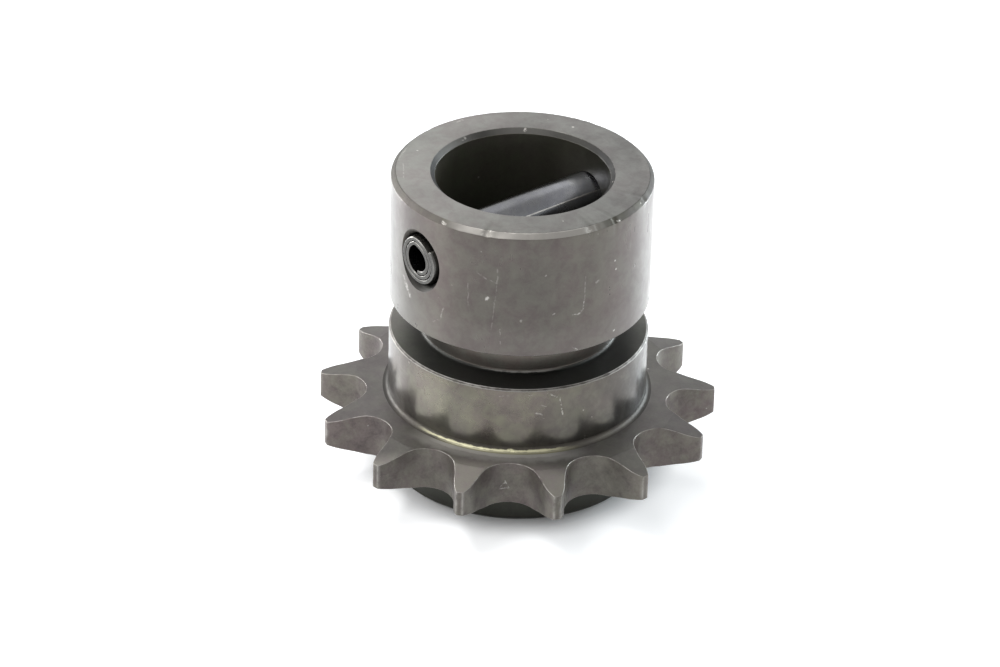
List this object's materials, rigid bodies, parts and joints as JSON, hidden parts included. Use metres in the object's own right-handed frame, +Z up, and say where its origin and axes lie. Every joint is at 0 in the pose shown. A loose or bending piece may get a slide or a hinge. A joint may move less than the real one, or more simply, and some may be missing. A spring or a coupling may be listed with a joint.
{
  "type": "roller chain sprocket",
  "caption": "Roller chain sprocket turned in one piece with a long grooved hub, with a coiled spring pin driven across its bore near the top.",
  "frame": {"origin": "centre of the bore at the foot's flat end face", "axes": "+Z up the bore from the foot to the top of the hub; the cross pin lies along Y, with the strip's outer edge turned towards +X and +Z at its -Y end"},
  "size_m": [0.0582, 0.0586, 0.0476],
  "materials": {
    "body_steel": "oiled dark steel, turned, with worn edges",
    "pin_steel": "rolled spring steel strip, lightly oiled"
  },
  "bodies": {
    "root": {"sprocket": "body_steel", "spring_pin": "pin_steel"}
  },
  "joints": []
}
